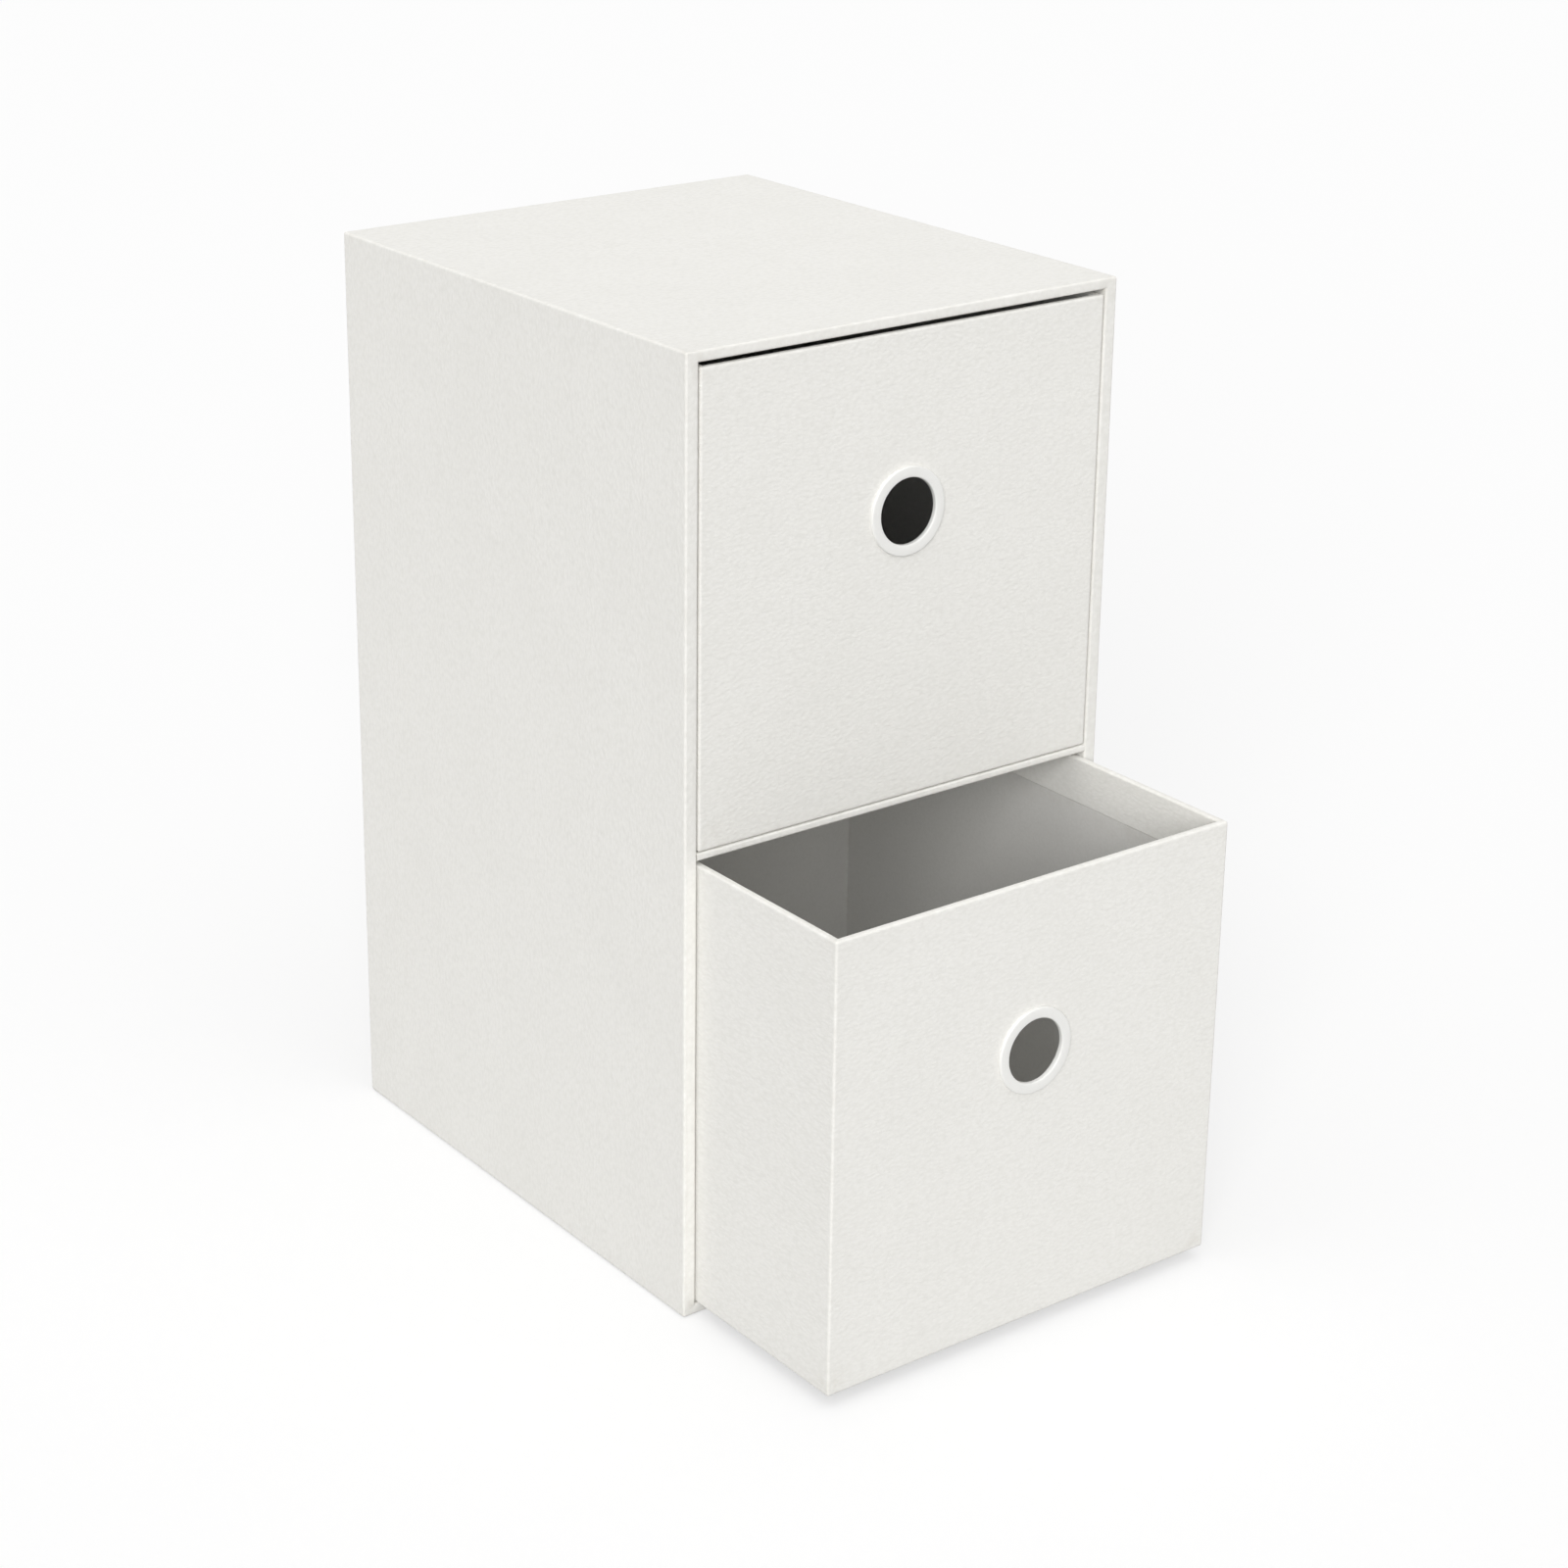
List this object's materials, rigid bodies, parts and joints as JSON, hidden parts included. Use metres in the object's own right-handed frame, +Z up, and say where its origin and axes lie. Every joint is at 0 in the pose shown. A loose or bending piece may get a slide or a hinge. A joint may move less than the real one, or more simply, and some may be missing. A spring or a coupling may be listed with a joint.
{
  "type": "disc storage drawer cabinet",
  "caption": "Upright cabinet of paper-covered board with deep box drawers stacked in open bays, each pulled out by a round finger hole edged with a flat plastic ring.",
  "frame": {"origin": "centre of the cabinet's flat underside, where it stands", "axes": "+X to the right seen from the front, -Y towards the user, which is the way the drawers open, +Z up"},
  "size_m": [0.1616, 0.2552, 0.3063],
  "materials": {
    "greyboard": "raw solid greyboard, hidden under the papers",
    "covering_paper": "matt warm white paper with a fine embossed grain",
    "lining_paper": "matt plain white lining paper",
    "ring_plastic": "satin white moulded plastic"
  },
  "bodies": {
    "cabinet": {"left_side_board": "greyboard", "right_side_board": "greyboard", "top_board": "greyboard", "bottom_board": "greyboard", "back_board": "greyboard", "shelf_board": "greyboard", "cabinet_wrap": "covering_paper", "cabinet_lining": "lining_paper", "back_paper": "covering_paper", "base_paper": "covering_paper", "shelf_wrap": "covering_paper"},
    "upper_drawer": {"upper_drawer_front_board": "greyboard", "upper_drawer_back_board": "greyboard", "upper_drawer_left_board": "greyboard", "upper_drawer_right_board": "greyboard", "upper_drawer_bottom_board": "greyboard", "upper_drawer_wrap": "covering_paper", "upper_drawer_lining": "lining_paper", "upper_drawer_base_paper": "covering_paper", "upper_drawer_finger_ring": "ring_plastic"},
    "lower_drawer": {"lower_drawer_front_board": "greyboard", "lower_drawer_back_board": "greyboard", "lower_drawer_left_board": "greyboard", "lower_drawer_right_board": "greyboard", "lower_drawer_bottom_board": "greyboard", "lower_drawer_wrap": "covering_paper", "lower_drawer_lining": "lining_paper", "lower_drawer_base_paper": "covering_paper", "lower_drawer_finger_ring": "ring_plastic"}
  },
  "joints": [
    {"name": "upper_drawer_slide", "type": "slide", "parent": "cabinet", "child": "upper_drawer", "axis": [0, -1, 0], "range_m": [0, 0.14]},
    {"name": "lower_drawer_slide", "type": "slide", "parent": "cabinet", "child": "lower_drawer", "axis": [0, -1, 0], "range_m": [-0.0655, 0.0745]}
  ]
}
